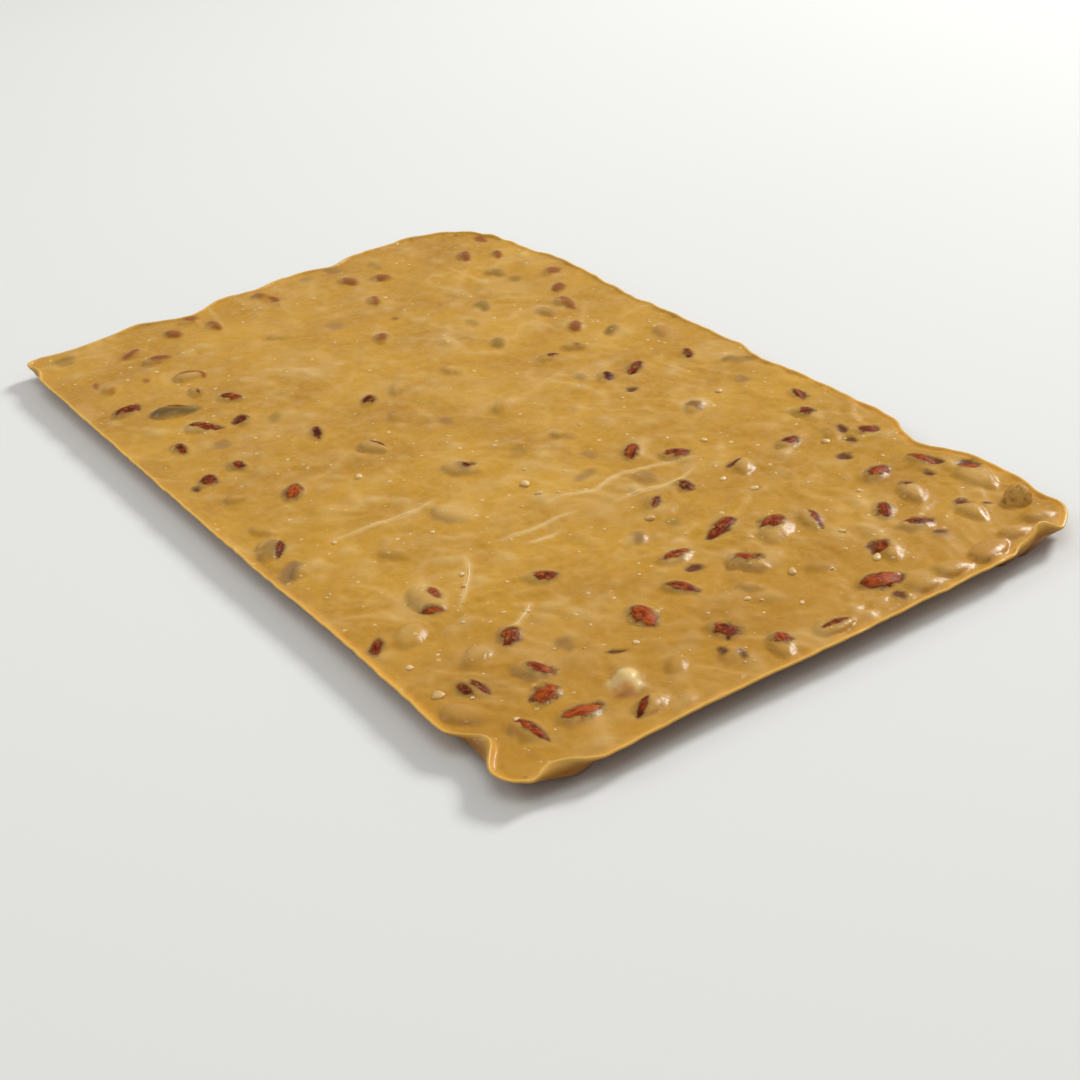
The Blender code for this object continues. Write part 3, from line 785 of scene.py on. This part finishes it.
def pour(mesh, in_grid, in_ring, almonds):
    """Gives the slab's top its relief and the whole skin its colour notes."""
    points = points_of(mesh)
    ring = np.maximum(np.arange(len(points)) - in_grid, -in_ring) // in_ring + 1
    x, y, z = (points / MM).T
    on_top = ring <= LAST_TOP_RING
    ridge = knife_ridges(x, y)
    bumps = lumps(x, y)
    level = poured_level(x, y) + bumps + RIDGE_HEIGHT * ridge
    share = (z - LEVEL / MM) / (LIP_HEIGHT - LEVEL) * MM
    base = np.where(ring == 0, level, z + (level - LEVEL / MM) * np.clip(1 - share, 0, 1))
    height, reach, tone = film_over(x, y, base, almonds)
    height += np.where(on_top, nut_top(x, y), 0)
    points[:, 2] = np.where(on_top, height, z) * MM
    mesh.vertices.foreach_set("co", points.ravel())

    tint = np.zeros((len(points), 4))
    # Painted light: the tops of the small lumps are paler
    paint(tint, LUMP_TOP_LIGHT, 0.6 * np.clip(bumps, 0, 1) * on_top)
    rise = np.where(on_top, height - base, 0)
    # Painted shade round the flanks of each mound over an almond, partly skin darkening the thin film there,
    # and painted light on the mound tops
    flank_shade = smooth_step(0.0, 0.5, rise) * (1 - smooth_step(0.8, 1.7, rise))
    paint(tint, FLANK_SHADE_BROWN, 0.30 * flank_shade)
    paint(tint, MOUND_TOP_LIGHT, 0.30 * smooth_step(0.9, 2.1, rise))
    paint(tint, NEAR_AMBER, 0.4 * smooth_step(110, 200, x - 0.3 * y) * on_top)
    paint(tint, RIDGE_PALE, (0.85 * ridge + 0.28 * swirl_lines(x, y)) * on_top)
    for stain in STAINS:
        inside = patch_reach(x, y, stain) + 0.5 * ripples(x, y, 5, 41)
        soft = min(2.0, 0.35 * stain[4])
        paint(tint, stain[6], stain[5] * smooth_step(-soft, soft, inside) * on_top)
    for patch in BARE_SKIN:
        inside = patch_reach(x, y, patch) + 0.5 * ripples(x, y, 4.5, 31)
        veil = veil_over(patch) * (0.55 + 0.4 * patch[5])
        paint(tint, RED_BROWN, veil * smooth_step(-1.3, 1.3, inside) * on_top)
    # Painted glow of light through the thin lip on its inner slope, stronger towards +X
    paint(tint, LIP_GLOW_AMBER, np.interp(ring, *INNER_GLOW_RINGS) * smooth_step(-20, 120, x))
    # Painted shade on the undercut wall under the lip
    paint(tint, WALL_SHADE_BROWN, np.interp(ring, *WALL_SHADE_RINGS) * 0.92)
    # Painted light along the lip's thin crest, a glow of light through it
    paint(tint, CREST_GLOW_PALE, np.interp(ring, *CREST_GLOW_RINGS) * 0.8)
    colour = mesh.attributes.new("tint", "FLOAT_COLOR", "POINT")
    colour.data.foreach_set("color", tint.ravel())
    note_values(mesh, skin_reach=np.where(on_top, reach, NO_SKIN), skin_tone=tone)


def paint(tint, colour, amount):
    """Lays a colour over the tint; its fourth value is how much of the chocolate it hides."""
    amount = np.clip(amount, 0, 1)[:, None]
    hidden = 1 - (1 - tint[:, 3:]) * (1 - amount)
    weight = np.where(hidden > 0, amount / np.maximum(hidden, 1e-6), 0)
    tint[:, :3] = tint[:, :3] * (1 - weight) + np.array(linear(colour)) * weight
    tint[:, 3:] = hidden


def note_skin(almonds_piece):
    """Gives the almonds' points the same patch values as the chocolate round them."""
    x, y, _ = (points_of(almonds_piece.data) / MM).T
    reach, tone = skin_reach(x, y)
    note_values(almonds_piece.data, skin_reach=reach, skin_tone=tone)


# Crumbs and threads
def drop_on(tree, x, y):
    hit = tree.ray_cast(Vector((x * MM, y * MM, 0.05)), Vector((0, 0, -1)))[0]
    return hit if hit else Vector((x * MM, y * MM, LEVEL))


def join_copies(copies, name):
    bpy.ops.object.select_all(action="DESELECT")
    for copy in copies:
        copy.select_set(True)
    bpy.context.view_layer.objects.active = copies[0]
    bpy.ops.object.join()
    joined = bpy.context.object
    joined.name = name
    bpy.ops.object.shade_smooth()
    return joined


def make_crumbs(tree):
    """Crumbs of nut and drops of chocolate, half sunk in the surface: some stand up, most lie flat."""
    places = [(x, y, size, CRUMB_STANDS) for x, y, size in CRUMBS]
    smallest, spread = SMALL_CRUMB_SIZE
    for _ in range(SMALL_CRUMBS):
        x = SMALL_CRUMBS_FROM - SMALL_CRUMBS_OVER * random.uniform() ** 1.2
        y = random.uniform(-SCATTER_TO_SIDE, SCATTER_TO_SIDE)
        places.append((x, y, smallest + spread * random.uniform() ** 2.5, SMALL_CRUMB_STANDS))
    bpy.ops.object.select_all(action="DESELECT")
    bpy.ops.mesh.primitive_ico_sphere_add(subdivisions=2, radius=0.5)
    pattern = bpy.context.object
    pieces = []
    for number, (x, y, size, stand) in enumerate(places):
        crumb = copy_of(pattern)
        stretch = (random.uniform(0.8, 1.3), random.uniform(0.7, 1.1), stand)
        phase = random.uniform(0, 6, 3)
        for vert in crumb.data.vertices:
            swell = 1 + 0.13 * math.sin(8 * vert.co.x + phase[0])
            swell += 0.11 * math.sin(10 * vert.co.y + phase[1])
            vert.co = Vector(vert.co[i] * stretch[i] for i in range(3)) * swell * size * MM
        place = drop_on(tree, x, y) + Vector((0, 0, 0.02 * size * MM))
        turn = Matrix.Rotation(random.uniform(0, 6.28), 4, "Z")
        crumb.data.transform(Matrix.Translation(place) @ turn)
        shade = 0.45 + 0.55 * random.uniform()
        note_values(crumb.data, paleness=[shade] * len(crumb.data.vertices))
        pieces.append(crumb)
    bpy.data.objects.remove(pattern, do_unlink=True)
    return join_copies(pieces, "nut_crumbs")


def make_threads(tree):
    """Threads of chocolate along the knife's ridges, lying in the surface and running out at both ends."""
    curve = bpy.data.curves.new("knife_threads", "CURVE")
    curve.dimensions = "3D"
    curve.bevel_depth = THREAD_RADIUS * MM
    curve.bevel_resolution = 2
    curve.use_fill_caps = True
    for number, route in enumerate(RIDGES):
        points = smooth_route(route, 1.5)
        spline = curve.splines.new("POLY")
        spline.points.add(len(points) - 1)
        for index, (x, y) in enumerate(points):
            place = drop_on(tree, x, y) - Vector((0, 0, 0.08 * MM))
            share = index / (len(points) - 1)
            swell = 0.8 + 0.35 * math.sin(index * 0.35 + number)
            spline.points[index].co = (*place, 1.0)
            spline.points[index].radius = (0.15 + math.sin(math.pi * share) ** 0.7) * swell
    threads = bpy.data.objects.new("knife_threads", curve)
    bpy.context.scene.collection.objects.link(threads)
    bpy.ops.object.select_all(action="DESELECT")
    bpy.context.view_layer.objects.active = threads
    threads.select_set(True)
    bpy.ops.object.convert(target="MESH")
    threads = bpy.context.object
    note_values(threads.data, paleness=[THREAD_PALENESS] * len(threads.data.vertices))
    bpy.ops.object.shade_smooth()
    return threads


# Materials
def caramel_material():
    """Blond caramel chocolate, poured and spread with a knife: soft gloss, cloudy colour, pale specks."""
    material, tree, shader = new_material("poured blond caramel chocolate")
    coords = add_node(tree, "ShaderNodeTexCoord").outputs["Object"]
    clouds = add_node(
        tree, "ShaderNodeTexNoise",
        {"Vector": coords, "Scale": per_metre(CLOUDS), "Detail": 3.0, "Roughness": 0.55},
    )
    base = add_node(tree, "ShaderNodeValToRGB", {"Fac": clouds.outputs["Fac"]})
    set_ramp(base, (0.30, "#b27d18"), (0.72, "#cc9726"))
    marbling = add_node(
        tree, "ShaderNodeTexNoise",
        {"Vector": coords, "Scale": per_metre(MARBLING), "Detail": 4.0, "Roughness": 0.5, "Distortion": 0.8},
    )
    across, along = per_metre(STROKE_WIDTH), per_metre(STROKE_LENGTH)
    stroke_place = add_node(
        tree, "ShaderNodeMapping",
        {"Vector": coords, "Rotation": (0, 0, 0.25), "Scale": (across, along, along)},
    )
    strokes = add_node(
        tree, "ShaderNodeTexNoise",
        {"Vector": stroke_place.outputs["Vector"], "Scale": 1.0, "Detail": 3.0, "Distortion": 1.4},
    )
    mottle = add_node(
        tree, "ShaderNodeTexNoise",
        {"Vector": coords, "Scale": per_metre(MOTTLE), "Detail": 3.0, "Roughness": 0.6},
    )

    # Round spots: one cell in a few holds one, larger in some cells than in others
    kinds = ((SPECKS_APART, "Red", 0.66, 0.29), (PITS_APART, "Green", 0.84, 0.09))
    spots = []
    for apart, channel, fewest, largest in kinds:
        cells = add_node(tree, "ShaderNodeTexVoronoi", {"Vector": coords, "Scale": per_metre(apart)})
        pick = add_node(tree, "ShaderNodeSeparateColor", {"Color": cells.outputs["Color"]})
        size = add_node(
            tree, "ShaderNodeMapRange",
            {"Value": pick.outputs[channel], "From Min": fewest, "From Max": 1.0, "To Max": largest},
        )
        spots.append(add_node(
            tree, "ShaderNodeMath", {0: size.outputs["Result"], 1: cells.outputs["Distance"]},
            operation="SUBTRACT",
        ))
    specks, pits = spots

    colour, masks = lay_colours(tree, base.outputs["Color"], (
        (marbling.outputs["Fac"], 0.48, 0.74, 0.0, 0.38, "SMOOTHSTEP", "#dab26c"),
        (marbling.outputs["Fac"], 0.47, 0.28, 0.0, 0.28, "SMOOTHSTEP", "#a06b19"),
        (strokes.outputs["Fac"], 0.52, 0.78, 0.0, 0.14, "SMOOTHSTEP", "#dfbb7c"),
        (mottle.outputs["Fac"], 0.30, 0.75, 0.0, 0.28, "LINEAR", "#d9b26b"),
        (specks.outputs["Value"], 0.0, 0.10, 0.0, 0.65, "LINEAR", "#e9c98d"),
        (pits.outputs["Value"], 0.0, 0.05, 0.0, 0.75, "LINEAR", "#6f3f17"),
    ))
    speck_mask = masks[4]
    tint = add_node(tree, "ShaderNodeAttribute", attribute_name="tint")
    colour = add_node(
        tree, "ShaderNodeMix", {"Factor": tint.outputs["Alpha"], 6: colour, 7: tint.outputs["Color"]},
        data_type="RGBA",
    ).outputs[2]

    # Veiled skin round each bare patch, paler outside and darker at its edge; the olive outer ring is partly
    # painted shade round the patch and partly skin under the thin film
    frayed = frayed_reach(tree, coords, per_metre(FRAYED_EDGE))
    colour, _ = lay_colours(tree, colour, (
        (frayed, -1.8, 0.1, 0.0, 0.7, "SMOOTHSTEP", "#94763e"),
        (frayed, -0.7, 1.3, 0.0, 1.0, "SMOOTHSTEP", VEILED_SKIN),
    ))

    # Gloss, and small unevenness of the surface
    gloss = add_node(
        tree, "ShaderNodeTexNoise", {"Vector": coords, "Scale": per_metre(GLOSS), "Detail": 2.0},
    )
    rough = add_node(
        tree, "ShaderNodeMapRange",
        {"Value": gloss.outputs["Fac"], "From Min": 0.3, "From Max": 0.7, "To Min": 0.28, "To Max": 0.40},
    )
    grain = add_node(
        tree, "ShaderNodeTexNoise",
        {"Vector": coords, "Scale": per_metre(GRAIN), "Detail": 3.0, "Distortion": 0.6},
    )
    rolling = add_node(
        tree, "ShaderNodeTexNoise",
        {"Vector": coords, "Scale": per_metre(ROLLING), "Detail": 1.5, "Distortion": 0.8},
    )
    rolled = add_node(
        tree, "ShaderNodeBump", {"Strength": 0.3, "Distance": 1.6 * MM, "Height": rolling.outputs["Fac"]},
    )
    grained = add_node(
        tree, "ShaderNodeBump",
        {
            "Strength": 0.3, "Distance": 0.5 * MM, "Height": grain.outputs["Fac"],
            "Normal": rolled.outputs["Normal"],
        },
    )
    bubbled = add_node(
        tree, "ShaderNodeBump",
        {"Strength": 0.8, "Distance": 0.4 * MM, "Height": speck_mask, "Normal": grained.outputs["Normal"]},
    )
    set_inputs(tree, shader, {
        "Base Color": colour, "Roughness": rough.outputs["Result"], "Normal": bubbled.outputs["Normal"],
        "IOR": 1.46, "Specular IOR Level": 0.28, "Subsurface Weight": 0.18,
        "Subsurface Radius": (1.0, 0.55, 0.2), "Subsurface Scale": 2 * MM,
    })
    return material


def skin_material():
    """Roasted almond skin, wrinkled lengthwise: mahogany with orange-red streaks, veiled at its edge."""
    material, tree, shader = new_material("roasted almond skin")
    place = add_node(tree, "ShaderNodeAttribute", attribute_name="skin_place").outputs["Vector"]
    wrinkles = (1 / SKIN_WRINKLE_WIDTH, 1 / SKIN_WRINKLE_LENGTH, 1.0)
    grain_place = add_node(tree, "ShaderNodeMapping", {"Vector": place, "Scale": wrinkles})
    grain = add_node(
        tree, "ShaderNodeTexNoise", {"Vector": grain_place.outputs["Vector"], "Scale": 1.0, "Detail": 4.0},
    )
    blotch = add_node(
        tree, "ShaderNodeTexNoise",
        {"Vector": place, "Scale": 1 / SKIN_BLOTCH, "Detail": 2.0, "Distortion": 0.5},
    )
    shade = add_node(tree, "ShaderNodeAttribute", attribute_name="skin_tone").outputs["Fac"]
    shade = add_node(tree, "ShaderNodeMath", {0: shade, 1: 0.4, 2: -0.45}, operation="MULTIPLY_ADD")
    for pattern in (blotch, grain):
        shade = add_node(
            tree, "ShaderNodeMath", {0: pattern.outputs["Fac"], 1: 0.8, 2: shade.outputs["Value"]},
            operation="MULTIPLY_ADD",
        )
    skin = add_node(tree, "ShaderNodeValToRGB", {"Fac": shade.outputs["Value"]})
    set_ramp(skin, (0.34, "#481401"), (0.56, "#842b03"), (0.80, "#b04d12"))

    # The film thins out over the skin's edge, and chocolate is smeared over some of it
    frayed = frayed_reach(tree, place, 1 / FRAYED_EDGE)
    smear = add_node(
        tree, "ShaderNodeTexNoise",
        {"Vector": place, "Scale": 1 / SKIN_SMEAR, "Detail": 4.0, "Roughness": 0.6},
    ).outputs["Fac"]
    coat = add_node(tree, "ShaderNodeValToRGB", {"Fac": smear})
    set_ramp(coat, (0.36, "#9a682c"), (0.56, "#c99b4c"))
    colour, _ = lay_colours(tree, skin.outputs["Color"], (
        (frayed, 0.2, 1.9, 0.7, 0.0, "SMOOTHSTEP", VEILED_SKIN),
        (smear, 0.50, 0.68, 0.0, 0.6, "SMOOTHSTEP", "#b07a3c"),
        (frayed, -0.6, 0.5, 0.92, 0.0, "SMOOTHSTEP", coat.outputs["Color"]),
    ))
    bump = add_node(
        tree, "ShaderNodeBump", {"Strength": 0.5, "Distance": 0.3 * MM, "Height": grain.outputs["Fac"]},
    )
    set_inputs(tree, shader, {
        "Base Color": colour, "Normal": bump.outputs["Normal"], "Roughness": 0.48, "IOR": 1.45,
        "Specular IOR Level": 0.12,
    })
    return material


def crumb_material():
    """Nut crumb and drawn-up chocolate, paler where it is bare: soft gloss."""
    material, tree, shader = new_material("chocolate coated nut crumb")
    coords = add_node(tree, "ShaderNodeTexCoord").outputs["Object"]
    paleness = add_node(tree, "ShaderNodeAttribute", attribute_name="paleness").outputs["Fac"]
    mottle = add_node(
        tree, "ShaderNodeTexNoise", {"Vector": coords, "Scale": per_metre(CRUMB_MOTTLE), "Detail": 2.0},
    )
    shade = add_node(
        tree, "ShaderNodeMath", {0: mottle.outputs["Fac"], 1: 0.4, 2: paleness}, operation="MULTIPLY_ADD",
    )
    colour = add_node(tree, "ShaderNodeValToRGB", {"Fac": shade.outputs["Value"]})
    set_ramp(colour, (0.3, "#c08c3a"), (1.0, "#e6c487"))
    set_inputs(tree, shader, {"Base Color": colour.outputs["Color"], "Roughness": 0.38, "IOR": 1.46})
    return material


def floor_material():
    material, tree, shader = new_material("pale matte floor")
    coords = add_node(tree, "ShaderNodeTexCoord").outputs["Object"]
    soft = add_node(tree, "ShaderNodeTexNoise", {"Vector": coords, "Scale": 1.5})
    colour = add_node(tree, "ShaderNodeValToRGB", {"Fac": soft.outputs["Fac"]})
    set_ramp(colour, (0.0, "#e2e2df"), (1.0, "#e8e8e5"))
    set_inputs(tree, shader, {"Base Color": colour.outputs["Color"], "Roughness": 0.9})
    return material


# Stage
def area_light(name, toward, distance, size, power):
    light = bpy.data.lights.new(name, "AREA")
    light.shape = "DISK"
    light.size = size
    light.energy = power
    holder = bpy.data.objects.new(name, light)
    bpy.context.scene.collection.objects.link(holder)
    toward = Vector(toward).normalized()
    holder.location = toward * distance
    holder.rotation_euler = toward.to_track_quat("Z", "Y").to_euler()


def set_stage():
    bpy.ops.object.select_all(action="DESELECT")
    bpy.ops.mesh.primitive_plane_add(size=8.0, location=(0, 0, 0))
    floor = bpy.context.object
    floor.name = "floor"
    floor.data.materials.append(floor_material())
    for light in LIGHTS:
        area_light(*light)
    world = bpy.data.worlds.new("pale studio")
    bpy.context.scene.world = world
    world.use_nodes = True
    back = world.node_tree.nodes["Background"]
    set_inputs(world.node_tree, back, {"Color": "#f4f4f2", "Strength": STUDIO_STRENGTH})
    bpy.context.scene.view_settings.view_transform = "Standard"


def set_camera():
    lens = bpy.data.cameras.new("camera")
    lens.lens = CAMERA_LENS
    lens.sensor_width = CAMERA_SENSOR
    camera = bpy.data.objects.new("camera", lens)
    bpy.context.scene.collection.objects.link(camera)
    look = Vector(CAMERA_LOOK).normalized()
    level_right = look.cross(Vector((0, 0, 1))).normalized()
    level_up = level_right.cross(look)
    right = level_right * math.cos(CAMERA_ROLL) - level_up * math.sin(CAMERA_ROLL)
    up = right.cross(look)
    turn = Matrix((right, up, -look)).transposed().to_4x4()
    camera.matrix_world = Matrix.Translation(CAMERA_PLACE) @ turn
    bpy.context.scene.camera = camera


def main():
    almond_nodes = sorted(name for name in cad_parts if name.startswith("almond_"))
    almonds = [almond_of_node(name) for name in almond_nodes] + [sunk_almond(place) for place in SUNK]
    skins = make_almonds(almonds)
    note_skin(skins)
    skins.data.materials.clear()
    skins.data.materials.append(skin_material())
    slab = make_slab(almonds)
    caramel = caramel_material()
    slab.data.materials.append(caramel)
    slab_tree = BVHTree.FromPolygons(
        [vert.co for vert in slab.data.vertices], [face.vertices for face in slab.data.polygons],
    )
    crumbs = make_crumbs(slab_tree)
    crumbs.data.materials.append(crumb_material())
    threads = make_threads(slab_tree)
    threads.data.materials.append(crumbs.data.materials[0])
    for piece in (slab, skins, crumbs, threads):
        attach(piece, "root")
    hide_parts("slab")
    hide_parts(*almond_nodes)
    set_stage()
    set_camera()


main()
